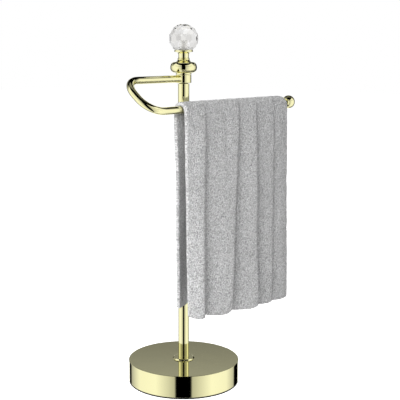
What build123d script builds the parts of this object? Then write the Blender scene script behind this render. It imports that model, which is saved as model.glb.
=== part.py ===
from build123d import *
import os
from math import atan2, cos, hypot, radians, sin, sqrt

os.makedirs("parts", exist_ok=True)

# Countertop towel stand in millimetres: a weighted round base, an upright post, a bent rod that swivels
# on the post and carries a draped towel, and a turned finial with a faceted crystal ball.
# The origin is the centre of the base's underside. +Z is up, +X runs along the towel bar, -Y is the front.

# Base cover, weight and pad
base_diameter = 127.0
base_height = 26.2
shell_wall = 1.5
shell_edge_bevel = 0.5
shell_foot_radius = 0.8
shell_lip_width = 3.0
foot_gap = 1.2
weight_clearance = 0.25
weight_edge = 2.0
pad_clearance = 0.3
pad_inset = 0.7
pad_edge = 0.2

# Bolt that holds post, cover and weight together
bolt_diameter = 8.0
bolt_hole_clearance = 0.5
bolt_head_flats = 13.0
bolt_head_height = 5.3
bolt_engagement = 16.0
bolt_tip_room = 3.0
washer_diameter = 16.0
washer_thickness = 1.6
lock_washer_diameter = 14.2
lock_washer_thickness = 2.0
lock_washer_split = 1.6
head_room = 0.6
counterbore_diameter = 22.0
thread_clearance = 0.05

# Post and its foot ring
post_diameter = 12.5
post_wall = 1.0
post_length = 316.6
insert_clearance = 0.03
upper_insert_length = 20.0
foot_ring_diameter = 24.8
foot_ring_height = 1.8
foot_ring_edge = 0.8
foot_ring_clearance = 0.1

# Swivel: stud, bush, washers and spring
stud_diameter = 6.0
stud_hole_clearance = 0.1
stud_in_insert = 16.0
bush_diameter = 8.5
bush_clearance = 0.03
bush_running_clearance = 0.05
washer_bore_clearance = 0.15
friction_washer_diameter = 12.0
friction_washer_thickness = 0.8
end_play = 0.05
spring_thickness = 0.5
spring_height = 1.0
recess_clearance = 0.4
collar_gap = 0.3

# Collar and bent rod
collar_diameter = 17.0
collar_cover = 0.5
collar_edge = 0.2
rod_diameter = 8.0
rod_socket_wall = 0.6
rod_socket_clearance = 0.03
loop_reach = 94.5
loop_flat = 6.6
bar_forward = 38.2
bar_drop = 30.4
bar_end = 138.0

# Knob on the end of the bar
knob_diameter = 15.6
knob_neck_diameter = 11.0
knob_neck_length = 1.6
knob_centre = 8.2
knob_neck_edge = 0.3
knob_spigot_diameter = 5.0
knob_spigot_length = 8.0
knob_bore_room = 1.0
knob_clearance = 0.03

# Finial: bulb, neck, cup and crystal
bulb_foot_height = 1.45
bulb_bead_radius = 6.05
bulb_bead_centre = 8.65
bulb_shoulder = 22.0
bulb_top_radius = 6.3
bulb_top_height = 2.7
neck_foot_radius = 6.8
neck_foot_height = 1.3
neck_radius = 6.0
neck_waist = 0.25
neck_height = 6.8
cup_radius = 10.3
cup_foot_radius = 6.4
cup_height = 3.5
cup_lip = 2.0
cup_rim = 0.4
cup_seat_depth = 0.8
crystal_radius = 16.1
crystal_seat_radius = 9.0
crystal_seat_clearance = 0.2
crystal_bore_clearance = 0.1
crystal_bore_room = 0.5
ball_insert_diameter = 9.0
ball_insert_length = 11.0
stud_in_ball = 8.5
facets_round = 12

# Towel
towel_thickness = 4.4
towel_clearance = 0.3
towel_left = -49.0
towel_knob_gap = 6.6
front_drop = 241.5
back_drop = 230.0
front_spread = 4.7
back_spread = 2.6
back_edge_drift = 4.5
pleat_depth = 9.0
pleat_swell = 1.0
edge_swell = 2.5
middle_spread_share = 0.6

# Where each pleat has its crest and the valley beyond it, as shares of the panel's width,
# half way down and at the hem
front_turns_middle = (0.12, 0.15, 0.41, 0.43, 0.63, 0.65, 0.84, 0.86)
front_turns_hem = (0.09, 0.12, 0.34, 0.37, 0.60, 0.64, 0.81, 0.84)
back_turns_middle = (0.22, 0.25, 0.50, 0.53, 0.78, 0.81)
back_turns_hem = (0.18, 0.22, 0.48, 0.52, 0.79, 0.83)

# Sizes that follow from those above
base_radius = base_diameter / 2
post_radius = post_diameter / 2
post_bore_radius = post_radius - post_wall
rod_radius = rod_diameter / 2
stud_radius = stud_diameter / 2
stud_hole_radius = stud_radius + stud_hole_clearance
bolt_radius = bolt_diameter / 2
bolt_hole_radius = bolt_radius + bolt_hole_clearance
pad_height = foot_gap + shell_wall
lip_radius = base_radius - shell_foot_radius - shell_lip_width
counterbore_depth = washer_thickness + lock_washer_thickness + bolt_head_height + head_room
washer_top = pad_height + counterbore_depth
bolt_shoulder = washer_top - washer_thickness - lock_washer_thickness
post_top = base_height + post_length
collar_height = rod_diameter + 2 * collar_cover
collar_bottom = post_top + friction_washer_thickness + end_play
collar_top = collar_bottom + collar_height
arm_height = collar_bottom + collar_height / 2
bar_height = arm_height - bar_drop
loop_gap = hypot(bar_forward, bar_drop)
bend_radius = (loop_gap - loop_flat) / 2
loop_tilt = atan2(bar_forward, bar_drop)
arm_start = bush_diameter / 2 + rod_socket_wall
spring_bottom = collar_top + end_play + friction_washer_thickness
bulb_bottom = collar_top + collar_gap
bulb_recess = spring_bottom + spring_height - bulb_bottom
bead_height = bulb_bottom + bulb_foot_height + bulb_bead_radius
bulb_top = bead_height + bulb_bead_radius + bulb_top_height
neck_top = bulb_top + neck_height
cup_top = neck_top + cup_height
crystal_bottom = cup_top - cup_seat_depth
crystal_centre = crystal_bottom + sqrt(crystal_radius ** 2 - crystal_seat_radius ** 2)
towel_right = bar_end - towel_knob_gap
towel_inner = rod_radius + towel_clearance
towel_outer = towel_inner + towel_thickness


def disc(radius, bottom, height):
    """Upright round slab standing on the given height."""
    return Pos(0, 0, bottom) * Cylinder(radius, height, align=(Align.CENTER, Align.CENTER, Align.MIN))


def ring(outer, inner, bottom, height):
    """Upright washer or sleeve."""
    return disc(outer, bottom, height) - disc(inner, bottom, height)


def turned(outline):
    """Turned piece from a closed outline of radius and height, drawn in the XZ plane."""
    return revolve(Plane.XZ * make_face(outline), Axis.Z)


def edges_at(part, radius, height):
    """Round edges of a turned piece at one radius and height."""
    found = part.edges().filter_by(GeomType.CIRCLE)
    return [e for e in found if abs(e.radius - radius) < 0.01 and abs(e.center().Z - height) < 0.01]


# Base: spun brass cover, rolled in under the weight

def make_base_shell():
    cover = disc(base_radius, foot_gap, base_height - foot_gap)
    cover = chamfer(edges_at(cover, base_radius, base_height), shell_edge_bevel)
    cover = fillet(edges_at(cover, base_radius, foot_gap), shell_foot_radius)
    inner_radius = base_radius - shell_wall
    cover -= disc(inner_radius, pad_height, base_height - shell_wall - pad_height)
    cover -= disc(lip_radius, foot_gap, shell_wall)
    cover -= disc(bolt_hole_radius, base_height - shell_wall, shell_wall)
    return cover


# Cast-iron weight with a counterbore for the bolt head

def make_base_weight():
    radius = base_radius - shell_wall - weight_clearance
    height = base_height - shell_wall - pad_height
    weight = disc(radius, pad_height, height)
    weight = chamfer(edges_at(weight, radius, pad_height), weight_edge)
    weight = chamfer(edges_at(weight, radius, pad_height + height), weight_edge / 2)
    weight -= disc(counterbore_diameter / 2, pad_height, counterbore_depth)
    weight -= disc(bolt_hole_radius, washer_top, base_height - washer_top)
    return weight


# Moulded foot glued under the weight, whose rim covers the cover's lip, the face that the stand rests on

def make_foot_pad():
    radius = base_radius - pad_inset
    pad = disc(radius, 0, foot_gap)
    pad = chamfer(edges_at(pad, radius, 0), pad_edge)
    return pad + disc(lip_radius - pad_clearance, foot_gap, shell_wall)


# Hexagon bolt with its two washers

def make_base_bolt():
    head_bottom = bolt_shoulder - bolt_head_height
    head = extrude(Pos(0, 0, head_bottom) * RegularPolygon(bolt_head_flats / 2, 6, major_radius=False),
                   bolt_head_height)
    crown = disc(bolt_head_flats * 0.56, head_bottom, bolt_head_height)
    crown = chamfer(edges_at(crown, bolt_head_flats * 0.56, head_bottom), bolt_head_flats * 0.06)
    head = head & crown
    tip = base_height + bolt_engagement
    shank = disc(bolt_radius, bolt_shoulder, tip - bolt_shoulder)
    shank = chamfer(edges_at(shank, bolt_radius, tip), bolt_diameter * 0.1)
    return head + shank


def make_base_washer():
    inner = bolt_radius + thread_clearance * 4
    return ring(washer_diameter / 2, inner, washer_top - washer_thickness, washer_thickness)


def make_base_lock_washer():
    inner = bolt_radius + thread_clearance * 2
    washer = ring(lock_washer_diameter / 2, inner, bolt_shoulder, lock_washer_thickness)
    split = Box(lock_washer_diameter, lock_washer_split, lock_washer_thickness * 3)
    split = Pos(lock_washer_diameter / 2, 0, bolt_shoulder) * Rot(25, 0, 0) * split
    return washer - split


# Post: tube with a threaded plug in each end, standing in a foot ring

def make_post_tube():
    return ring(post_radius, post_bore_radius, base_height, post_length)


def make_lower_insert():
    length = bolt_engagement + bolt_tip_room
    return ring(post_bore_radius - insert_clearance, bolt_radius + thread_clearance, base_height, length)


def make_upper_insert():
    bottom = post_top - upper_insert_length
    return ring(post_bore_radius - insert_clearance, stud_radius + thread_clearance, bottom,
                upper_insert_length)


def make_foot_ring():
    radius = foot_ring_diameter / 2
    body = disc(radius, base_height, foot_ring_height)
    body = fillet(edges_at(body, radius, base_height + foot_ring_height), foot_ring_edge)
    return body - disc(post_radius + foot_ring_clearance, base_height, foot_ring_height)


# Swivel: the collar turns on a bush between two plastic washers, pressed by a coned spring

def make_swivel_stud():
    bottom = post_top - stud_in_insert
    tip = crystal_bottom + stud_in_ball
    stud = disc(stud_radius, bottom, tip - bottom)
    ends = edges_at(stud, stud_radius, bottom) + edges_at(stud, stud_radius, tip)
    return chamfer(ends, stud_diameter * 0.1)


def make_friction_washer(bottom):
    inner = stud_radius + washer_bore_clearance
    return ring(friction_washer_diameter / 2, inner, bottom, friction_washer_thickness)


def make_disc_spring():
    outer = friction_washer_diameter / 2
    inner = stud_radius + washer_bore_clearance
    rise = spring_height - spring_thickness
    outline = Polyline(
        (outer, spring_bottom),
        (outer, spring_bottom + spring_thickness),
        (inner, spring_bottom + rise + spring_thickness),
        (inner, spring_bottom + rise),
        close=True,
    )
    return turned(outline)


def make_collar_bush():
    inner = stud_radius + bush_running_clearance
    return ring(bush_diameter / 2, inner, collar_bottom, collar_height)


def make_arm_collar():
    radius = collar_diameter / 2
    collar = disc(radius, collar_bottom, collar_height)
    rims = edges_at(collar, radius, collar_bottom) + edges_at(collar, radius, collar_top)
    collar = chamfer(rims, collar_edge)
    collar -= disc(bush_diameter / 2 + bush_clearance, collar_bottom, collar_height)
    upright = (Align.CENTER, Align.CENTER, Align.MIN)
    socket = Cylinder(rod_radius + rod_socket_clearance, radius, align=upright)
    return collar - Pos(-arm_start, 0, arm_height) * Rot(0, -90, 0) * socket


# Bent rod: arm, two bends in a plane that leans forward, and the straight towel bar with its spigot

def make_towel_arm():
    lean = Plane(origin=(0, 0, arm_height), x_dir=(1, 0, 0), z_dir=(0, -cos(loop_tilt), sin(loop_tilt)))
    route = FilletPolyline(
        (-arm_start, 0),
        (-loop_reach, 0),
        (-loop_reach, -loop_gap),
        (bar_end, -loop_gap),
        radius=bend_radius,
    )
    route = lean * route
    start = Plane(origin=(-arm_start, 0, arm_height), z_dir=(-1, 0, 0))
    rod = sweep(start * Circle(rod_radius), path=route)
    spigot = Cylinder(knob_spigot_diameter / 2, knob_spigot_length,
                      align=(Align.CENTER, Align.CENTER, Align.MIN))
    return rod + Pos(bar_end, -bar_forward, bar_height) * Rot(0, 90, 0) * spigot


def make_end_knob():
    shoulder_radius = knob_neck_diameter / 2
    neck = disc(shoulder_radius, 0, knob_neck_length + knob_centre / 2)
    neck = chamfer(edges_at(neck, shoulder_radius, 0), knob_neck_edge)
    knob = neck + Pos(0, 0, knob_centre) * Sphere(knob_diameter / 2)
    knob -= disc(knob_spigot_diameter / 2 + knob_clearance, 0, knob_spigot_length + knob_bore_room)
    return Pos(bar_end, -bar_forward, bar_height) * Rot(0, 90, 0) * knob


# Finial: four turned pieces and the cut crystal, all threaded on the stud

def make_finial_bulb():
    top_bead = bead_height + bulb_bead_radius
    slope = radians(bulb_shoulder)
    shoulder = (bulb_bead_centre + bulb_bead_radius * sin(slope), bead_height + bulb_bead_radius * cos(slope))
    low = (bulb_bead_centre, bead_height - bulb_bead_radius)
    far = (bulb_bead_centre + bulb_bead_radius, bead_height)
    waist = ((shoulder[0] + bulb_top_radius) / 2 - 0.4, (top_bead + bulb_top) / 2 - 0.5)
    top = (bulb_top_radius, bulb_top)
    recess_radius = friction_washer_diameter / 2 + recess_clearance
    outline = [
        Line((recess_radius, bulb_bottom), (bulb_bead_centre, bulb_bottom)),
        Line((bulb_bead_centre, bulb_bottom), low),
        ThreePointArc(low, far, shoulder),
        ThreePointArc(shoulder, waist, top),
        Line(top, (stud_hole_radius, bulb_top)),
        Line((stud_hole_radius, bulb_top), (stud_hole_radius, bulb_bottom + bulb_recess)),
        Line((stud_hole_radius, bulb_bottom + bulb_recess), (recess_radius, bulb_bottom + bulb_recess)),
        Line((recess_radius, bulb_bottom + bulb_recess), (recess_radius, bulb_bottom)),
    ]
    return turned(outline)


def make_finial_neck():
    bead_mid = (neck_foot_radius, bulb_top + neck_foot_height / 2)
    bead_low = (bulb_top_radius, bulb_top)
    bead_top = (neck_radius, bulb_top + neck_foot_height)
    middle = (neck_radius - neck_waist, (bead_top[1] + neck_top) / 2)
    outline = [
        Line((stud_hole_radius, bulb_top), bead_low),
        ThreePointArc(bead_low, bead_mid, bead_top),
        ThreePointArc(bead_top, middle, (neck_radius, neck_top)),
        Line((neck_radius, neck_top), (stud_hole_radius, neck_top)),
        Line((stud_hole_radius, neck_top), (stud_hole_radius, bulb_top)),
    ]
    return turned(outline)


def make_crystal_cup():
    foot = (cup_foot_radius, neck_top)
    lip_low = (cup_radius - 0.3, cup_top - cup_lip - cup_rim)
    flare = ((foot[0] + lip_low[0]) / 2 + 0.3, (foot[1] + lip_low[1]) / 2 - 0.4)
    lip_mid = (cup_radius, cup_top - cup_rim - cup_lip / 2)
    lip_top = (cup_radius - 0.15, cup_top - cup_rim / 2)
    seat_radius = crystal_seat_radius + crystal_seat_clearance
    rim = (cup_radius - 0.35, cup_top)
    outline = [
        Line((stud_hole_radius, neck_top), foot),
        ThreePointArc(foot, flare, lip_low),
        ThreePointArc(lip_low, lip_mid, lip_top),
        Line(lip_top, rim),
        Line(rim, (seat_radius, crystal_bottom)),
        Line((seat_radius, crystal_bottom), (stud_hole_radius, crystal_bottom)),
        Line((stud_hole_radius, crystal_bottom), (stud_hole_radius, neck_top)),
    ]
    return turned(outline)


def make_ball_insert():
    return ring(ball_insert_diameter / 2, stud_radius + thread_clearance, crystal_bottom, ball_insert_length)


# Crystal ball: a sphere with rows of flat facets cut all round it, and a blind bore from below

def make_crystal_ball():
    ball = Pos(0, 0, crystal_centre) * Sphere(crystal_radius)
    step = 360 / facets_round
    rows = (
        (0, 0, 0.962),
        (31, 0.5, 0.966),
        (-31, 0.5, 0.966),
        (58, 0, 0.965),
        (-50, 0, 0.965),
        (90, 0, 0.955),
    )
    for latitude, shift, depth in rows:
        count = 1 if latitude == 90 else facets_round // 2 if latitude == 58 else facets_round
        for turn in range(count):
            angle = radians((turn + shift) * 360 / count if count > 1 else 0)
            rise = radians(latitude)
            out = Vector(cos(rise) * cos(angle), cos(rise) * sin(angle), sin(rise))
            cut = Plane(origin=Vector(0, 0, crystal_centre) + out * crystal_radius * depth, z_dir=out)
            ball = split(ball, bisect_by=cut, keep=Keep.BOTTOM)
    ball = split(ball, bisect_by=Plane((0, 0, crystal_bottom)), keep=Keep.TOP)
    bore_radius = ball_insert_diameter / 2 + crystal_bore_clearance
    return ball - disc(bore_radius, crystal_bottom, ball_insert_length + crystal_bore_room)


# Towel: a half round over the bar and two panels whose pleats deepen and spread towards the hem

def panel_section(height, middle, left, turns, growth, way):
    """Closed outline of one panel at one height; each pleat swells slowly and falls back steeply."""
    width = towel_right - left
    stations = [left] + [left + width * share for share in turns] + [towel_right]
    last = len(stations) - 2
    front = middle - towel_thickness / 2
    back = middle + towel_thickness / 2

    def side(y):
        crest = y + way * pleat_depth * growth
        pieces = []
        for index, (a, b) in enumerate(zip(stations[:-1], stations[1:])):
            centre = (a + b) / 2
            if growth == 0:
                pieces.append(Line((a, y, height), (b, y, height)))
            elif index == last:
                bulge = y + way * edge_swell * growth
                pieces.append(ThreePointArc((a, y, height), (centre, bulge, height), (b, y, height)))
            elif index % 2 == 0:
                bulge = (y + crest) / 2 + way * pleat_swell * growth
                pieces.append(ThreePointArc((a, y, height), (centre, bulge, height), (b, crest, height)))
            else:
                pieces.append(Line((a, crest, height), (b, y, height)))
        return pieces

    ends = [
        Line((left, front, height), (left, back, height)),
        Line((towel_right, front, height), (towel_right, back, height)),
    ]
    return make_face(Wire(side(front) + side(back) + ends))


def towel_panel(drop, way, spread, drift, turns_middle, turns_hem):
    top = -bar_forward + way * (towel_inner + towel_thickness / 2)
    half = top + way * spread * middle_spread_share
    hem = top + way * spread
    hem_height = bar_height + towel_outer - drop
    half_height = (bar_height + hem_height) / 2
    half_left = towel_left + drift / 2
    sections = [
        panel_section(bar_height, top, towel_left, turns_middle, 0, way),
        panel_section(half_height, half, half_left, turns_middle, middle_spread_share, way),
        panel_section(hem_height, hem, towel_left + drift, turns_hem, 1, way),
    ]
    return loft(sections)


def make_towel():
    width = towel_right - towel_left
    along = Pos(towel_left, -bar_forward, bar_height) * Rot(0, 90, 0)
    tube = Cylinder(towel_outer, width, align=(Align.CENTER, Align.CENTER, Align.MIN))
    tube -= Cylinder(towel_inner, width, align=(Align.CENTER, Align.CENTER, Align.MIN))
    arch = split(along * tube, bisect_by=Plane((0, 0, bar_height)), keep=Keep.TOP)
    front = towel_panel(front_drop, -1, front_spread, 0, front_turns_middle, front_turns_hem)
    back = towel_panel(back_drop, 1, back_spread, back_edge_drift, back_turns_middle, back_turns_hem)
    return arch + front + back


pieces = {
    "base_shell": make_base_shell(),
    "base_weight": make_base_weight(),
    "foot_pad": make_foot_pad(),
    "base_bolt": make_base_bolt(),
    "base_washer": make_base_washer(),
    "base_lock_washer": make_base_lock_washer(),
    "foot_ring": make_foot_ring(),
    "post_tube": make_post_tube(),
    "lower_insert": make_lower_insert(),
    "upper_insert": make_upper_insert(),
    "swivel_stud": make_swivel_stud(),
    "lower_friction_washer": make_friction_washer(post_top),
    "upper_friction_washer": make_friction_washer(collar_top + end_play),
    "disc_spring": make_disc_spring(),
    "collar_bush": make_collar_bush(),
    "arm_collar": make_arm_collar(),
    "towel_arm": make_towel_arm(),
    "end_knob": make_end_knob(),
    "finial_bulb": make_finial_bulb(),
    "finial_neck": make_finial_neck(),
    "crystal_cup": make_crystal_cup(),
    "ball_insert": make_ball_insert(),
    "crystal_ball": make_crystal_ball(),
    "towel": make_towel(),
}

for name, shape in pieces.items():
    export_step(shape, f"parts/{name}.step")
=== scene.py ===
from math import cos, exp, hypot, pi, radians, sin

import bmesh
import bpy
from mathutils import Matrix, Vector, noise


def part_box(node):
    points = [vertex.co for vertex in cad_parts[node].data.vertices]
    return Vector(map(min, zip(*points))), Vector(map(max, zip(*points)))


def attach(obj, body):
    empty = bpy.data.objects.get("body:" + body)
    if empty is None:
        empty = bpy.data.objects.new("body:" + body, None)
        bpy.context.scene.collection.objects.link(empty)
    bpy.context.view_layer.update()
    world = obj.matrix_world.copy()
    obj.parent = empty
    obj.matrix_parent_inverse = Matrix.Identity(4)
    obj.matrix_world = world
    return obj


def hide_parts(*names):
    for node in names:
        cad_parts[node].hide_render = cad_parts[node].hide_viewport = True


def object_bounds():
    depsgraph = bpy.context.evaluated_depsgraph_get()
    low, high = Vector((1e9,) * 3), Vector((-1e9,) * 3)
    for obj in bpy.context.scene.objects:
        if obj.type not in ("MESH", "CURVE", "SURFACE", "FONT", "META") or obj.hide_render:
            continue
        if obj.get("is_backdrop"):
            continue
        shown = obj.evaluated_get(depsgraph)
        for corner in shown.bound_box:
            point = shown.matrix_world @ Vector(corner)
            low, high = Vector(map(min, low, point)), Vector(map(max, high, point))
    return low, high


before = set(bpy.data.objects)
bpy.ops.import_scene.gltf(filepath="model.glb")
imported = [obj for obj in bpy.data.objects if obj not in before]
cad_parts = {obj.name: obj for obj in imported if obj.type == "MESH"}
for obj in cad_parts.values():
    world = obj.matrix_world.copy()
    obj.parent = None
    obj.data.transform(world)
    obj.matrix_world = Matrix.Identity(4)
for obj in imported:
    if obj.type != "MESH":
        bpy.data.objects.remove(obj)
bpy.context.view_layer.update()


# Base cover: a cup spun from 1.5 mm brass, rolled in at the foot under the weight that fills it. Like all
# the brass that shows, it is buffed to a mirror and plated pale gold under a thin clear lacquer. Fine
# buffing lines and a faint waviness keep the polish from being perfect.

class Signal:
    """A shader socket whose arithmetic adds Math nodes."""

    def __init__(self, shader, socket):
        self.shader = shader
        self.socket = socket

    def __add__(self, other):
        return self.shader.math("ADD", self, other)

    def __radd__(self, other):
        return self.shader.math("ADD", other, self)

    def __sub__(self, other):
        return self.shader.math("SUBTRACT", self, other)

    def __rsub__(self, other):
        return self.shader.math("SUBTRACT", other, self)

    def __mul__(self, other):
        return self.shader.math("MULTIPLY", self, other)

    def __rmul__(self, other):
        return self.shader.math("MULTIPLY", other, self)

    def __truediv__(self, other):
        return self.shader.math("DIVIDE", self, other)

    def __rtruediv__(self, other):
        return self.shader.math("DIVIDE", other, self)


class Shader:
    """The node tree of one finish, emptied and filled node by node."""

    def __init__(self, owner):
        owner.use_nodes = True
        self.tree = owner.node_tree
        self.tree.nodes.clear()

    def node(self, kind, settings=None, values=None, output=0):
        """Adds a node, sets what it is, then sets or links its sockets, and returns one of its outputs."""
        made = self.tree.nodes.new(kind)
        for name, setting in (settings or {}).items():
            if name == "stops":
                ramp = made.color_ramp
                while len(ramp.elements) < len(setting):
                    ramp.elements.new(0.5)
                for element, (place, grey) in zip(ramp.elements, setting):
                    element.position = place
                    element.color = (grey, grey, grey, 1)
            else:
                setattr(made, name, setting)
        for name, value in (values or {}).items():
            if isinstance(value, Signal):
                self.tree.links.new(value.socket, made.inputs[name])
            else:
                made.inputs[name].default_value = value
        return Signal(self, made.outputs[output] if made.outputs else None)

    def math(self, operation, *values):
        return self.node("ShaderNodeMath", {"operation": operation}, dict(enumerate(values)))

    def dot(self, first, second):
        settings = {"operation": "DOT_PRODUCT"}
        return self.node("ShaderNodeVectorMath", settings, {0: first, 1: second}, "Value")

    def place(self):
        return self.node("ShaderNodeTexCoord", output="Object")

    def stretched(self, place, scale):
        return self.node("ShaderNodeMapping", None, {"Vector": place, "Scale": scale})

    def grain(self, place, scale, detail=3.0, roughness=0.5):
        values = {"Vector": place, "Scale": scale, "Detail": detail, "Roughness": roughness}
        return self.node("ShaderNodeTexNoise", None, values)

    def cells(self, place, scale, randomness=1.0):
        values = {"Vector": place, "Scale": scale, "Randomness": randomness}
        return self.node("ShaderNodeTexVoronoi", {"feature": "F1"}, values)

    def spread(self, value, low, high, floor=0.0, ceiling=1.0):
        values = {"Value": value, "From Min": low, "From Max": high, "To Min": floor, "To Max": ceiling}
        return self.node("ShaderNodeMapRange", {"interpolation_type": "SMOOTHSTEP"}, values)

    def blend(self, amount, first, second):
        return self.node("ShaderNodeMix", {"data_type": "RGBA"}, {0: amount, 6: first, 7: second}, 2)

    def choose(self, amount, first, second):
        return self.node("ShaderNodeMix", {"data_type": "FLOAT"}, {0: amount, 2: first, 3: second})

    def bump(self, height, depth):
        return self.node("ShaderNodeBump", None, {"Height": height, "Distance": depth})


def finish(name, paint):
    """A material; paint(shader) gives the values of its Principled shader."""
    material = bpy.data.materials.new(name)
    shader = Shader(material)
    body = shader.node("ShaderNodeBsdfPrincipled", None, paint(shader))
    shader.node("ShaderNodeOutputMaterial", None, {"Surface": body})
    return material


GOLD = (0.995, 0.960, 0.560, 1)
GOLD_DEEP = (0.965, 0.900, 0.465, 1)
BUFFING = (90, 90, 1400)


def paint_polished_brass(shader):
    place = shader.place()
    cloud = shader.grain(place, 28.0, 2.0)
    lines = shader.grain(shader.stretched(place, BUFFING), 1.0)
    wave = shader.grain(place, 60.0, 1.0)
    return {
        "Base Color": shader.blend(cloud * 0.35, GOLD, GOLD_DEEP),
        "Metallic": 1.0,
        "Roughness": 0.035 + cloud * 0.02 + lines * 0.02,
        "Normal": shader.bump(wave * 0.9 + lines * 0.1, 0.00002),
        "Coat Weight": 0.15,
        "Coat Roughness": 0.02,
    }


polished_brass = finish("polished_brass", paint_polished_brass)

MM = 0.001
MERGE = 1e-7
SHARP_ANGLE = radians(35)
SIDE_SUPPORT = 0.25
LONG_SIDE = 2.5


def span(node):
    """Lowest and highest corner of a CAD node in millimetres."""
    low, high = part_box(node)
    return low / MM, high / MM


def smooth(bm):
    """Smooth shading that breaks at the sharp edges."""
    for face in bm.faces:
        face.smooth = True
    for edge in bm.edges:
        if len(edge.link_faces) == 2:
            edge.smooth = edge.calc_face_angle(0) < SHARP_ANGLE


def turn(corners, steps=128, segments=8):
    """A turned piece from the corners of its closed outline, each (radius, height, rounding) in millimetres.
    Long sides get a point beside each corner, so that they shade flat."""
    bm = bmesh.new()
    outline = []
    for index, (radius, height, rounding) in enumerate(corners):
        here = Vector((radius, 0, height))
        reach = rounding + SIDE_SUPPORT
        for near in (corners[index - 1], corners[(index + 1) % len(corners)]):
            away = Vector((near[0], 0, near[1])) - here
            beside = here + away.normalized() * reach if away.length > LONG_SIDE * reach else None
            outline.append((beside, 0))
        outline.insert(-1, (here, rounding))
    outline = [(point, rounding) for point, rounding in outline if point]
    rim = [bm.verts.new(point * MM) for point, _ in outline]
    for first, second in zip(rim, rim[1:] + rim[:1]):
        bm.edges.new((first, second))
    for corner, (_, rounding) in zip(rim, outline):
        if rounding:
            bmesh.ops.bevel(bm, geom=[corner], offset=rounding * MM, offset_type="OFFSET", segments=segments,
                            profile=0.5, affect="VERTICES", material=-1)
    bmesh.ops.spin(bm, geom=bm.verts[:] + bm.edges[:], axis=(0, 0, 1), cent=(0, 0, 0), dvec=(0, 0, 0),
                   angle=2 * pi, steps=steps, use_merge=True, use_duplicate=False)
    bmesh.ops.remove_doubles(bm, verts=bm.verts, dist=MERGE)
    bmesh.ops.recalc_face_normals(bm, faces=bm.faces)
    smooth(bm)
    return bm


def keep(bm, name, material, body, node):
    """Turns a finished bmesh into a piece that rides on a body and stands for a CAD node."""
    mesh = bpy.data.meshes.new(name)
    bm.to_mesh(mesh)
    bm.free()
    mesh.materials.append(material)
    piece = bpy.data.objects.new(name, mesh)
    bpy.context.scene.collection.objects.link(piece)
    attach(piece, body)
    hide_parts(node)
    return piece


low, high = span("base_shell")
COVER_WALL = 1.5
COVER_LIP = 59.7
COVER_RAISED = 0.5
BOLT_HOLE = 4.5
cover_foot = low.z + COVER_RAISED
cover = turn([
    (BOLT_HOLE, high.z, 0),
    (high.x, high.z, 0.5),
    (high.x, cover_foot, 0.25),
    (COVER_LIP, cover_foot, 0),
    (COVER_LIP, low.z + COVER_WALL, 0),
    (high.x - COVER_WALL, low.z + COVER_WALL, 0),
    (high.x - COVER_WALL, high.z - COVER_WALL, 0.3),
    (BOLT_HOLE, high.z - COVER_WALL, 0),
], steps=256)
keep(cover, "base_cover", polished_brass, "stand", "base_shell")


# Weight: a cast-iron disc inside the cover, held by a hexagon bolt, a flat washer and a spring washer.
# The iron is as it left the sand mould; the fasteners are steel with a dull zinc plating.

def dress(material, *nodes):
    """Gives CAD nodes a finish."""
    for node in nodes:
        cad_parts[node].material_slots[0].material = material


def paint_cast_iron(shader):
    place = shader.place()
    sand = shader.grain(place, 1100.0, 4.0, 0.7)
    skin = shader.grain(place, 70.0, 3.0)
    return {
        "Base Color": shader.blend(skin, (0.03, 0.03, 0.032, 1), (0.12, 0.112, 0.105, 1)),
        "Metallic": 0.6,
        "Roughness": 0.58 + sand * 0.25,
        "Normal": shader.bump(sand * 0.7 + skin * 0.3, 0.0006),
    }


def paint_zinc_steel(shader):
    place = shader.place()
    crystals = shader.cells(place, 900.0)
    cloud = shader.grain(place, 260.0, 3.0)
    spangle = crystals * 0.6 + cloud * 0.4
    return {
        "Base Color": shader.blend(spangle, (0.48, 0.49, 0.51, 1), (0.68, 0.69, 0.71, 1)),
        "Metallic": 1.0,
        "Roughness": 0.26 + cloud * 0.2,
        "Normal": shader.bump(crystals, 0.00004),
    }


zinc_steel = finish("zinc_steel", paint_zinc_steel)
dress(finish("cast_iron", paint_cast_iron), "base_weight")
dress(zinc_steel, "base_bolt", "base_washer", "base_lock_washer")


# Foot pad: a moulded black rubber disc with a fine stipple, glued under the weight so that the stand
# doesn't slip. It reaches out under the cover's edge and shows as a thin black line.

def paint_pad_rubber(shader):
    place = shader.place()
    stipple = shader.cells(place, 1400.0)
    bloom = shader.grain(place, 45.0, 3.0)
    return {
        "Base Color": shader.blend(bloom, (0.005, 0.005, 0.005, 1), (0.016, 0.016, 0.017, 1)),
        "Roughness": 0.7 + bloom * 0.2,
        "Normal": shader.bump(stipple, 0.00025),
    }


low, high = span("foot_pad")
PAD_GROWTH = 0.5
PAD_STEP = 59.4
pad_radius = high.x + PAD_GROWTH
pad = turn([
    (0, low.z, 0),
    (pad_radius, low.z, 0.2),
    (pad_radius, cover_foot, 0),
    (PAD_STEP, cover_foot, 0),
    (PAD_STEP, high.z, 0),
    (0, high.z, 0),
], steps=256, segments=3)
keep(pad, "rubber_foot", finish("pad_rubber", paint_pad_rubber), "stand", "foot_pad")


# Foot ring: a thin turned brass ring with a sloped edge. It slips over the post before the post is bolted
# down, and hides the joint between post and cover.

low, high = span("foot_ring")
RING_CLEARANCE = 0.1
RING_EDGE = 0.3
RING_SLOPE = 1.1
ring_bore = span("post_tube")[1].x + RING_CLEARANCE
foot_ring = turn([
    (ring_bore, low.z, 0),
    (high.x, low.z, 0),
    (high.x, low.z + RING_EDGE, 0.1),
    (high.x - RING_SLOPE, high.z, 0.3),
    (ring_bore, high.z, 0.15),
])
keep(foot_ring, "post_foot_ring", polished_brass, "stand", "foot_ring")


# Post: a length of drawn brass tube, 12.5 mm outside and 1 mm thick. It stands on the cover inside the ring
# and is drawn down by the bolt through the base.

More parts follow.
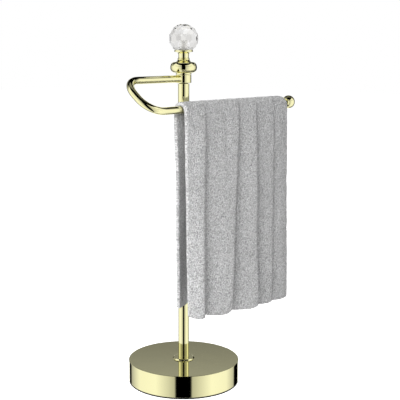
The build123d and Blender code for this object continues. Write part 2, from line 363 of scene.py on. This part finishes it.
low, high = span("post_tube")
TUBE_WALL = 1.0
post = turn([
    (high.x - TUBE_WALL, low.z, 0),
    (high.x, low.z, 0),
    (high.x, high.z, 0.15),
    (high.x - TUBE_WALL, high.z, 0),
])
keep(post, "post", polished_brass, "stand", "post_tube")


# Inserts and stud: threaded brass plugs fixed in both ends of the tube, one in the crystal, and the long
# zinc-plated stud that ties collar, finial and crystal to the post. The plugs show their turning marks,
# and the one in the crystal is tinned, so that it doesn't show yellow through the glass.

TURNING_MARKS = (60, 60, 2600)


def paint_turned_brass(shader):
    place = shader.place()
    marks = shader.grain(shader.stretched(place, TURNING_MARKS), 1.0)
    tarnish = shader.grain(place, 180.0, 3.0)
    return {
        "Base Color": shader.blend(tarnish, (0.80, 0.72, 0.50, 1), (0.90, 0.86, 0.72, 1)),
        "Metallic": 1.0,
        "Roughness": 0.2 + marks * 0.15,
        "Normal": shader.bump(marks, 0.00005),
    }


def paint_tinned_brass(shader):
    dip = shader.grain(shader.place(), 300.0, 3.0)
    return {
        "Base Color": shader.blend(dip, (0.92, 0.915, 0.895, 1), (0.98, 0.98, 0.965, 1)),
        "Metallic": 1.0,
        "Roughness": 0.3 + dip * 0.15,
    }


dress(finish("turned_brass", paint_turned_brass), "lower_insert", "upper_insert")
dress(finish("tinned_brass", paint_tinned_brass), "ball_insert")
dress(zinc_steel, "swivel_stud", "disc_spring")


# Bush and friction washers: moulded white acetal, which lets the collar turn without scoring the brass. The
# washer under the collar stands back from the tube, and it is painted near black as painted shade for the
# shadow in the gap under the collar.

def paint_acetal(shader):
    place = shader.place()
    flow = shader.grain(place, 220.0, 2.0)
    grip = shader.grain(place, 2200.0, 2.0)
    return {
        "Base Color": shader.blend(flow, (0.78, 0.775, 0.75, 1), (0.86, 0.855, 0.835, 1)),
        "Roughness": 0.34 + grip * 0.14,
        "Normal": shader.bump(grip, 0.00004),
    }


# Painted shade: the set-back washer is coloured near black to stand for the shadow in its gap.
def paint_acetal_painted_shade(shader):
    shade_mottle = shader.grain(shader.place(), 500.0, 3.0)
    return {
        "Base Color": shader.blend(shade_mottle, (0.015, 0.013, 0.008, 1), (0.05, 0.045, 0.03, 1)),
        "Roughness": 0.3 + shade_mottle * 0.3,
    }


dress(finish("acetal", paint_acetal), "upper_friction_washer", "collar_bush")
low, high = span("lower_friction_washer")
WASHER_SET_BACK = 1.1
STUD_HOLE = 3.1
washer_radius = high.x - WASHER_SET_BACK
washer = turn([
    (STUD_HOLE, low.z, 0),
    (washer_radius, low.z, 0.1),
    (washer_radius, high.z, 0.1),
    (STUD_HOLE, high.z, 0),
], segments=3)
keep(washer, "friction_washer", finish("acetal_painted_shade", paint_acetal_painted_shade), "stand",
     "lower_friction_washer")


# Collar: the turned brass sleeve at the top of the post. It holds the rod and turns with it on the bush,
# pressed between the friction washers.

low, high = span("arm_collar")
BUSH_CLEARANCE = 0.03
bush_radius = span("collar_bush")[1].x + BUSH_CLEARANCE
collar = turn([
    (bush_radius, low.z, 0),
    (high.x, low.z, 0.4),
    (high.x, high.z, 0.4),
    (bush_radius, high.z, 0),
], segments=3)
keep(collar, "rod_collar", polished_brass, "arm", "arm_collar")
arm_height = (low.z + high.z) / 2


# Rod: one 8 mm brass rod, brazed into the collar, bent twice in a plane that leans forward
# and run back in front of the post as the towel bar.

low, high = span("towel_arm")
ROD_RADIUS = 4.0
ROD_SIDES = 48
BEND_STEPS = 24
ARM_IN_COLLAR = 4.85
LOOP_FLAT = 6.6
bar_height = low.z + ROD_RADIUS
bar_forward = -low.y - ROD_RADIUS
loop_reach = -low.x - ROD_RADIUS
bar_end = span("end_knob")[0].x
loop_gap = hypot(bar_forward, arm_height - bar_height)
bend_radius = (loop_gap - LOOP_FLAT) / 2
lean = Vector((0, -bar_forward, bar_height - arm_height)).normalized()
bend_axis = lean.cross(Vector((-1, 0, 0)))


def push(bm, ring, step):
    """Extrudes the open end of the rod by a step and returns the new end."""
    made = bmesh.ops.extrude_edge_only(bm, edges=ring)["geom"]
    bmesh.ops.translate(bm, verts=[v for v in made if isinstance(v, bmesh.types.BMVert)], vec=step * MM)
    return [e for e in made if isinstance(e, bmesh.types.BMEdge)]


def bend(bm, ring, centre):
    """Turns the open end of the rod by a quarter round a bend's centre and returns the new end."""
    made = bmesh.ops.spin(bm, geom=ring, axis=bend_axis, cent=centre * MM, dvec=(0, 0, 0), angle=-pi / 2,
                          steps=BEND_STEPS, use_merge=False, use_duplicate=False)["geom_last"]
    return [e for e in made if isinstance(e, bmesh.types.BMEdge)]


rod = bmesh.new()
start = Vector((-ARM_IN_COLLAR, 0, arm_height))
bmesh.ops.create_circle(rod, segments=ROD_SIDES, radius=ROD_RADIUS * MM,
                        matrix=Matrix.Translation(start * MM) @ Matrix.Rotation(pi / 2, 4, "Y"))
end = rod.edges[:]
corner = Vector((bend_radius - loop_reach, 0, arm_height))
end = push(rod, end, corner - start)
end = bend(rod, end, corner + lean * bend_radius)
end = push(rod, end, lean * LOOP_FLAT)
end = bend(rod, end, corner + lean * (bend_radius + LOOP_FLAT))
end = push(rod, end, Vector((bar_end - corner.x, 0, 0)))
bmesh.ops.recalc_face_normals(rod, faces=rod.faces)
bmesh.ops.holes_fill(rod, edges=rod.edges, sides=0)
smooth(rod)
keep(rod, "towel_rod", polished_brass, "arm", "towel_arm")


# Knob: a turned brass ball with a short neck. Its bore is pressed onto a spigot at the end of the bar, and
# it keeps the towel from sliding off.

low, high = span("end_knob")
KNOB_BORE = 2.6
KNOB_BORE_DEPTH = 9.0
KNOB_NECK = 5.5
BALL_START = 48
BALL_STEP = 4
ball_radius = high.z - bar_height
ball_centre = high.x - low.x - ball_radius
ball_angles = [radians(angle) for angle in range(BALL_START, 180, BALL_STEP)]
knob = turn([
    (KNOB_BORE, 0, 0),
    (KNOB_NECK, 0, 0.3),
    (KNOB_NECK, ball_centre - (ball_radius ** 2 - KNOB_NECK ** 2) ** 0.5, 0),
    *((ball_radius * sin(angle), ball_centre - ball_radius * cos(angle), 0) for angle in ball_angles),
    (0, ball_centre + ball_radius, 0),
    (0, KNOB_BORE_DEPTH, 0),
    (KNOB_BORE, KNOB_BORE_DEPTH, 0),
])
bar_tip = Vector((low.x, -bar_forward, bar_height))
bmesh.ops.transform(knob, verts=knob.verts,
                    matrix=Matrix.Translation(bar_tip * MM) @ Matrix.Rotation(pi / 2, 4, "Y"))
keep(knob, "bar_knob", polished_brass, "arm", "end_knob")


# Bulb: the lowest piece of the finial, a full round bead turned from brass. It screws down on the stud, and
# the recess in its foot holds the disc spring that presses the collar.

low, high = span("finial_bulb")
BEAD = 6.05
BEAD_STRAIGHT = 0.3
BULB_FOOT = 1.45
FOOT_DRAFT = 0.01
RECESS_RADIUS = 6.4
SHOULDER_RADIUS = 8.2
SHOULDER_RISE = 0.1
SPIGOT_RADIUS = 6.3
recess_top = span("disc_spring")[1].z
bead_bottom = low.z + BULB_FOOT
bead_top = bead_bottom + 2 * BEAD
bulb = turn([
    (RECESS_RADIUS, low.z, 0),
    (high.x - BEAD, low.z, 0),
    (high.x - BEAD + FOOT_DRAFT, bead_bottom, 0),
    (high.x, bead_bottom, BEAD - BEAD_STRAIGHT),
    (high.x, bead_top, BEAD - BEAD_STRAIGHT),
    (SHOULDER_RADIUS, bead_top + SHOULDER_RISE, 1.8),
    (SPIGOT_RADIUS, high.z, 0),
    (STUD_HOLE, high.z, 0),
    (STUD_HOLE, recess_top, 0),
    (RECESS_RADIUS, recess_top, 0),
], segments=20)
keep(bulb, "bulb", polished_brass, "stand", "finial_bulb")


# Neck: a turned brass sleeve on the stud above the bulb, drawn in at its waist, with a small bead round
# its foot.

low, high = span("finial_neck")
NECK_FOOT = 6.7
NECK_BEAD = 6.8
NECK_BEAD_RISE = 1.2
NECK_STEP_RISE = 1.7
NECK_END = 6.0
NECK_WAIST = 5.75
WAIST_ABOVE_MIDDLE = 0.6
neck = turn([
    (STUD_HOLE, low.z, 0),
    (NECK_FOOT, low.z, 0.35),
    (NECK_BEAD, low.z + NECK_BEAD_RISE, 0.5),
    (NECK_END, low.z + NECK_STEP_RISE, 0.5),
    (NECK_WAIST, (low.z + high.z) / 2 + WAIST_ABOVE_MIDDLE, 2.0),
    (NECK_END, high.z, 0),
    (STUD_HOLE, high.z, 0),
])
keep(neck, "neck", polished_brass, "stand", "finial_neck")


# Cup: the flanged cup on top of the neck, turned from brass. The crystal sits in the shallow recess inside
# its rim, pulled down by the stud.

low, high = span("crystal_cup")
CUP_FOOT = 6.4
CUP_THROAT = 7.4
CUP_THROAT_RISE = 1.2
CUP_FLANGE_RISE = 1.6
SEAT_RIM = 9.7
SEAT_FOOT = 8.9
seat_height = span("crystal_ball")[0].z
cup = turn([
    (STUD_HOLE, low.z, 0),
    (CUP_FOOT, low.z, 0),
    (CUP_THROAT, low.z + CUP_THROAT_RISE, 1.0),
    (high.x, low.z + CUP_FLANGE_RISE, 0.5),
    (high.x, high.z, 0.6),
    (SEAT_RIM, high.z, 0.1),
    (SEAT_FOOT, seat_height, 0),
    (STUD_HOLE, seat_height, 0),
])
keep(cup, "cup", polished_brass, "stand", "crystal_cup")


# Crystal: a ball of clear optical glass, cut and polished in rows of flat facets, with a tinned insert glued
# in its foot. Each facet is painted a little darker or paler by the way it faces, a painted reflection of
# the surroundings that cut glass picks up.

FACET_PAINTED_DIM = (0.83, 0.82, 0.80, 1)
FACET_CLEAR = (1, 1, 1, 1)


def paint_crystal(shader):
    # Painted reflection: each facet's colour is made darker or paler by the way it faces.
    facing = shader.node("ShaderNodeNewGeometry", output="True Normal")
    cut = shader.grain(facing, 3.4, 0.0)
    return {
        "Base Color": shader.blend(shader.spread(cut, 0.45, 0.55), FACET_PAINTED_DIM, FACET_CLEAR),
        "Roughness": shader.grain(shader.place(), 90.0) * 0.02,
        "IOR": 1.42,
        "Transmission Weight": 1.0,
    }


dress(finish("crystal", paint_crystal), "crystal_ball")


# Towel: a grey cotton terry fingertip towel, gathered on the bar in soft pleats and left to hang.
# Its loop pile covers both faces, the selvages and the turned hems, and it is about 4 mm thick.

TOWEL_FLAT = (0.28, 0.475)
TOWEL_THICK = 4.2
COLUMNS = 150
ROWS = 290
ARCH_ROWS = 14
EDGE_ROWS = 4
EDGE_ROUND = 1.7
towel_left = span("towel")[0].x
towel_right = span("towel")[1].x

# Over the bar: the middle of the cloth from the middle of the bar, and how far its right end is drawn in.
ARCH_REACH = 7.4
ARCH_RISE = 6.4
ARCH_TUCK = 8.0
ARCH_TUCK_FADE = 8

# Each pleat: the valley beyond it at the bar and at the hem, its depth at the hem, and how far its corner
# and its crest are drawn up at the hem. The cloth beyond the last valley runs out at the selvage.
FRONT_PLEATS = [(-19, -27.5, 10, 5, 1.5), (38.5, 17.5, 12, 8, 4), (70, 66, 12, 2, 3.5), (104, 99, 5.5, 1, 1)]
BACK_PLEATS = [(1.5, -6, 12, 6, 2), (48, 47, 12, 3, 2), (93.5, 101.5, 12, 2, 1)]
PLEAT_WALL = 0.68
PLEAT_SWELL = 1.0
VALLEY = 2.5
BAR_DEPTH = 0.16
BAR_BREAK = 0.2
BREAK_RATE = 7
CORNER_FADE = 7
CREST_FADE = 4
SELVAGE_TUCK = 2.5
SELVAGE_SWELL = 2.5
SELVAGE_AT_BAR = 0.3

# Each panel: the hem's height at the left end, its fall to the right, how far the hem stands out, and how
# far its left end is drawn in.
FRONT_HANG = (91.5, 0.06, 3.8, 0.0)
BACK_HANG = (97.0, 0.02, 1.9, 11.5)

# A short crease below the bar in front, and the gentle sway of both panels.
CREASE_PLACE = 14
CREASE_WIDTH = 4
CREASE_DEPTH = 1.4
SWAY = 2.0
SWAY_LENGTH = 50
SIDE_SWAY = 1.2
SIDE_SWAY_LENGTH = 60


def ease(share):
    """A soft step from 0 to 1."""
    share = min(max(share, 0), 1)
    return (1 - cos(pi * share)) / 2


def mix(first, second, share):
    return first + (second - first) * share


def pleat_at(pleats, across, fall):
    """How far the cloth stands off, and how far its hem is drawn up, at one place between bar and hem."""
    start = towel_left
    low = 0
    for at_bar, at_hem, deep, corner, tuck in pleats:
        valley = mix(at_bar, at_hem, fall)
        depth = deep * (mix(BAR_DEPTH, 1 - BAR_BREAK, fall) + BAR_BREAK * ease(fall * BREAK_RATE))
        crest = valley - PLEAT_WALL * depth
        if across < crest:
            share = (across - start) / (crest - start)
            swell = PLEAT_SWELL * fall * sin(pi * share)
            stand = mix(low, depth, mix(share, ease(share), 0.5)) + swell
            drawn = corner * exp(-max(across - start, 0) / CORNER_FADE)
            return stand, drawn + tuck * exp((across - crest) / CREST_FADE)
        low = -VALLEY * fall
        if across < valley:
            share = (valley - across) / (valley - crest)
            return mix(low, depth, ease(share)), tuck
        start = valley
    share = (across - start) / (towel_right - start)
    swell = SELVAGE_SWELL * mix(SELVAGE_AT_BAR, 1, fall) * sin(pi * share)
    return mix(low, 0, ease(share)) + swell, SELVAGE_TUCK * exp((across - towel_right) / CREST_FADE)


def over_bar(share_across, swing):
    """The middle of the cloth over the bar, at an angle that swings from the front to the back."""
    across = mix(towel_left, towel_right, share_across)
    pleats = FRONT_PLEATS if swing < pi / 2 else BACK_PLEATS
    stand = pleat_at(pleats, across, 0)[0] * cos(swing) ** 2
    across -= ARCH_TUCK * sin(swing) ** 2 * exp((across - towel_right) / ARCH_TUCK_FADE)
    forward = bar_forward + cos(swing) * (ARCH_REACH + stand)
    return Vector((across, -forward, bar_height + sin(swing) * ARCH_RISE))


def in_panel(share_across, fall, front):
    """The middle of the cloth in the front or back panel, from the bar at 0 to the hem at 1."""
    pleats = FRONT_PLEATS if front else BACK_PLEATS
    level, slope, flare, drawn_in = FRONT_HANG if front else BACK_HANG
    across = mix(towel_left + drawn_in * fall, towel_right, share_across)
    stand = pleat_at(pleats, across, fall)[0] + flare * fall
    if front:
        crease = CREASE_DEPTH * exp(-((across - CREASE_PLACE) / CREASE_WIDTH) ** 2)
        stand -= crease * ease(fall * 10) * (1 - ease(fall * 1.8))
    loose = ease(fall * 2)
    stand += noise.noise(Vector((across / SWAY_LENGTH, fall * 2.5, 3.0 if front else 8.0))) * SWAY * loose
    aside = noise.noise(Vector((across / SIDE_SWAY_LENGTH, fall * 3, 5.0))) * SIDE_SWAY * loose
    hem = level - slope * (across - towel_left) + pleat_at(pleats, across, 1)[1]
    way = -1 if front else 1
    return Vector((across + aside, -bar_forward + way * (ARCH_REACH + stand), mix(bar_height, hem, fall)))


def cloth_place(share_across, share_along):
    """The middle of the cloth, from the front hem, over the bar, to the back hem."""
    panel_share = 0.5 - ARCH_ROWS / ROWS / 2
    if abs(share_along - 0.5) <= 0.5 - panel_share:
        return over_bar(share_across, (share_along - panel_share) / (1 - 2 * panel_share) * pi)
    fall = 1 - min(share_along, 1 - share_along) / panel_share
    return in_panel(share_across, fall, share_along < 0.5)


def near_edge(share, count):
    """Draws the first rows towards an edge, so that they follow its rounding."""
    steps = min(share, 1 - share) * count
    if steps < EDGE_ROWS:
        steps = EDGE_ROWS * (1 - cos(pi / 2 * steps / EDGE_ROWS))
    edge = steps / count if steps < EDGE_ROWS else min(share, 1 - share)
    return edge if share < 0.5 else 1 - edge


def fullness(share, length):
    """How much of its thickness the cloth has near a selvage or hem, which the pile rounds."""
    inside = min(min(share, 1 - share) * length / EDGE_ROUND, 1)
    return (1 - (1 - inside) ** 3) ** (1 / 3)


towel = bmesh.new()
bmesh.ops.create_grid(towel, x_segments=COLUMNS, y_segments=ROWS, size=1)
weave = towel.loops.layers.uv.new("weave")
across_layer = towel.verts.layers.float.new("across")
along_layer = towel.verts.layers.float.new("along")
for vert in towel.verts:
    vert[across_layer] = near_edge((vert.co.x + 1) / 2, COLUMNS)
    vert[along_layer] = near_edge((vert.co.y + 1) / 2, ROWS)
    vert.co = cloth_place(vert[across_layer], vert[along_layer]) * MM
for _ in range(3):
    bmesh.ops.smooth_vert(towel, verts=[v for v in towel.verts if not v.is_boundary], factor=0.5,
                          use_axis_x=True, use_axis_y=True, use_axis_z=True)
bmesh.ops.recalc_face_normals(towel, faces=towel.faces)
if min(towel.faces, key=lambda f: f.calc_center_median().y).normal.y > 0:
    bmesh.ops.reverse_faces(towel, faces=towel.faces)

# The cloth gets its second face, and both move apart by half the thickness, less towards the edges.
copied = bmesh.ops.duplicate(towel, geom=towel.faces[:])["geom"]
bmesh.ops.reverse_faces(towel, faces=[g for g in copied if isinstance(g, bmesh.types.BMFace)])
towel.normal_update()
for vert in towel.verts:
    full = fullness(vert[across_layer], towel_right - towel_left)
    full *= fullness(vert[along_layer], TOWEL_FLAT[1] / MM)
    vert.co += vert.normal * full * TOWEL_THICK / 2 * MM
bmesh.ops.remove_doubles(towel, verts=towel.verts, dist=MERGE)
towel.normal_update()

# The pile stands up unevenly, in fine tufts and in broader patches.
for vert in towel.verts:
    tuft = noise.noise(vert.co * 420) * 0.30 + noise.noise(vert.co * 130) * 0.35
    vert.co += vert.normal * tuft * MM
for face in towel.faces:
    face.smooth = True
    for loop in face.loops:
        loop[weave].uv = (loop.vert[across_layer] * TOWEL_FLAT[0], loop.vert[along_layer] * TOWEL_FLAT[1])

TERRY_DEEP = (0.25, 0.25, 0.253, 1)
TERRY_PALE = (0.76, 0.76, 0.764, 1)


def paint_terry(shader):
    weave_map = shader.node("ShaderNodeUVMap", {"uv_map": "weave"})
    loops = shader.cells(weave_map, 640.0, 0.9)
    tufts = shader.grain(shader.place(), 640.0, 3.0, 0.65)
    cloud = shader.grain(shader.place(), 120.0, 2.0)
    pile = tufts * 0.65 + (1 - loops) * 0.35
    return {
        "Base Color": shader.blend(shader.spread(pile, 0.3, 0.75), TERRY_DEEP, TERRY_PALE),
        "Roughness": 0.92 + cloud * 0.06,
        "Normal": shader.bump(pile, 0.003),
        "Sheen Weight": 0.35,
        "Sheen Roughness": 0.6,
    }


cloth = keep(towel, "terry_towel", finish("terry", paint_terry), "towel", "towel")


# Camera: stands where the photograph was taken from. It is fitted to the base's top and foot, the post's
# width and the rod's loop, and its shift puts the post where it is in the frame.

CAMERA_AZIMUTH = radians(-48.4)
CAMERA_DISTANCE = 1.050
CAMERA_HEIGHT = 0.384
CAMERA_PITCH = radians(9.30)
LENS = 84.69
FRAME_PIXELS = 400
POST_PIXEL = 183.65
toward = Vector((sin(CAMERA_AZIMUTH), -cos(CAMERA_AZIMUTH), 0))
camera = bpy.data.objects.new("camera", bpy.data.cameras.new("camera"))
bpy.context.scene.collection.objects.link(camera)
camera.location = toward * CAMERA_DISTANCE + Vector((0, 0, CAMERA_HEIGHT))
camera.rotation_euler = (pi / 2 - CAMERA_PITCH, 0, CAMERA_AZIMUTH)
camera.data.lens = LENS
camera.data.sensor_width = 36
camera.data.shift_x = (FRAME_PIXELS / 2 - POST_PIXEL) / FRAME_PIXELS
camera.data.clip_end = 50
bpy.context.scene.camera = camera


# Studio: white all round to the eye, with a little light from every side. Polished metal sees two tall
# softboxes with a dark gap between them in front, dark flats behind and a dim ceiling. Glass sees the same,
# but paler and in soft patches.

# How bright the studio is at each angle, in degrees from the camera's side.
STUDIO_ROUND = [(-143, 0.0), (-140, 0.42), (-105, 0.95), (-60, 1.0), (-32, 0.68), (-19, 0.5), (-16, 0.0),
                (15, 0.0), (18, 0.5), (32, 0.68), (60, 1.0), (100, 0.95), (128, 0.5), (132, 0.0)]
LOUVRE_SHADE = 0.62
BORDER_DROP = 0.24
CEILING = 0.22
AMBIENT = 0.22


def paint_studio(shader):
    """How bright the studio is in each direction that polished metal reflects."""
    ray = shader.node("ShaderNodeTexCoord")
    side = shader.dot(ray, (-toward.y, toward.x, 0))
    front = shader.dot(ray, toward)
    rise = shader.node("ShaderNodeSeparateXYZ", None, {0: ray}, "Z")
    turned = shader.math("ARCTAN2", side, front)
    stops = [((angle + 180) / 360, level) for angle, level in STUDIO_ROUND]
    bright = shader.node("ShaderNodeValToRGB", {"stops": stops}, {0: turned / (2 * pi) + 0.5})

    # A louvre across both softboxes dims what the post's foot reflects.
    louvre = shader.spread(rise, 0.27, 0.29) * shader.spread(rise, 0.36, 0.38, 1.0, 0.0)
    bright = bright * (1 - louvre * shader.spread(front, 0.1, 0.3) * LOUVRE_SHADE)

    # Right behind the object the flats stand apart, wider below than above.
    away = shader.math("ABSOLUTE", turned)
    low_gap = shader.spread(away, radians(157), radians(160))
    high_gap = shader.spread(away, radians(168), radians(171))
    low = shader.spread(rise, -0.27, -0.2, 1.0, 0.0)
    bright = bright + low_gap * low + high_gap * (1 - low)

    # The softboxes end under a black border, which hangs lower in front.
    height = rise + BORDER_DROP * shader.math("MAXIMUM", front, 0.0)
    bright = bright * (1 - shader.spread(height, 0.75, 0.79))

    # Behind the object, above the flats, is a dim wall, and at the back of the ceiling a dim panel.
    behind = shader.spread(front, -0.1, -0.45)
    above = shader.spread(rise, 0.22, 0.28)
    wall = shader.spread(rise, 0.30, 0.355, 0.2, 0.33) * shader.spread(rise, 0.42, 0.5, 1.0, 0.0)
    bright = shader.choose(behind * above, bright, wall)
    return bright + shader.spread(height, 0.84, 0.9, 0.0, CEILING) * shader.spread(front, 0.1, -0.2)


world = bpy.data.worlds.new("studio")
bpy.context.scene.world = world
studio = Shader(world)
to_metal = paint_studio(studio)
patches = studio.spread(studio.grain(studio.node("ShaderNodeTexCoord"), 3.2, 1.0), 0.42, 0.58)
to_glass = (0.88 + to_metal * 0.14) * (0.86 + patches * 0.2)
to_eye = studio.node("ShaderNodeLightPath", output="Is Camera Ray")
off_metal = studio.node("ShaderNodeLightPath", output="Is Glossy Ray")
through_glass = studio.node("ShaderNodeLightPath", output="Is Transmission Ray")
strength = AMBIENT + to_eye * (1 - AMBIENT)
strength = studio.choose(off_metal, strength, to_metal)
strength = studio.choose(through_glass, strength, to_glass)
lit = studio.node("ShaderNodeBackground", None, {"Color": (1, 1, 1, 1), "Strength": strength})
studio.node("ShaderNodeOutputWorld", None, {"Surface": lit})


# Floor: a wide pale sheet that takes the object's shadow. It glows to the camera, so that it meets the white
# background, and polished metal sees the studio through it.

FLOOR_SIZE = 6.0
FLOOR_GLOW = 0.86


def floor_finish():
    material = bpy.data.materials.new("floor")
    shader = Shader(material)
    to_eye = shader.node("ShaderNodeLightPath", output="Is Camera Ray")
    to_metal = shader.node("ShaderNodeLightPath", output="Is Glossy Ray")
    diffuse = shader.node("ShaderNodeBsdfDiffuse", None, {"Color": (0.8, 0.8, 0.8, 1)})
    glow = shader.node("ShaderNodeEmission", None, {"Strength": to_eye * FLOOR_GLOW})
    both = shader.node("ShaderNodeAddShader", None, {0: diffuse, 1: glow})
    hole = shader.node("ShaderNodeBsdfTransparent")
    mixed = shader.node("ShaderNodeMixShader", None, {0: to_metal, 1: both, 2: hole})
    shader.node("ShaderNodeOutputMaterial", None, {"Surface": mixed})
    return material


bm = bmesh.new()
bmesh.ops.create_grid(bm, x_segments=1, y_segments=1, size=FLOOR_SIZE)
mesh = bpy.data.meshes.new("floor")
bm.to_mesh(mesh)
bm.free()
mesh.materials.append(floor_finish())
floor = bpy.data.objects.new("floor", mesh)
bpy.context.scene.collection.objects.link(floor)
floor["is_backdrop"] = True


# Lamps: soft square lamps that light the towel and cast the shadows, but don't show in the polish. Angles
# are in degrees from the camera's side, sizes and distances in metres.

LAMP_AIM = Vector((0.03, -0.03, 0.2))


def softbox(name, azimuth, height, distance, size, power):
    lamp = bpy.data.objects.new(name, bpy.data.lights.new(name, "AREA"))
    bpy.context.scene.collection.objects.link(lamp)
    angle = CAMERA_AZIMUTH + radians(azimuth)
    lamp.location = Vector((sin(angle) * distance, -cos(angle) * distance, height))
    lamp.rotation_euler = (LAMP_AIM - lamp.location).to_track_quat("-Z", "Y").to_euler()
    lamp.data.shape = "SQUARE"
    lamp.data.size = size
    lamp.data.energy = power
    lamp.visible_glossy = False
    lamp.visible_camera = False
    lamp.visible_transmission = False


softbox("key_front", azimuth=-12, height=0.75, distance=1.6, size=0.9, power=29)
softbox("edge_left", azimuth=-46, height=1.05, distance=1.5, size=0.7, power=16)
softbox("fill_right", azimuth=70, height=0.9, distance=1.8, size=1.4, power=3)
softbox("fill_back", azimuth=160, height=0.9, distance=1.8, size=1.4, power=27)

bpy.context.scene.view_settings.view_transform = "Standard"

low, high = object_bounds()
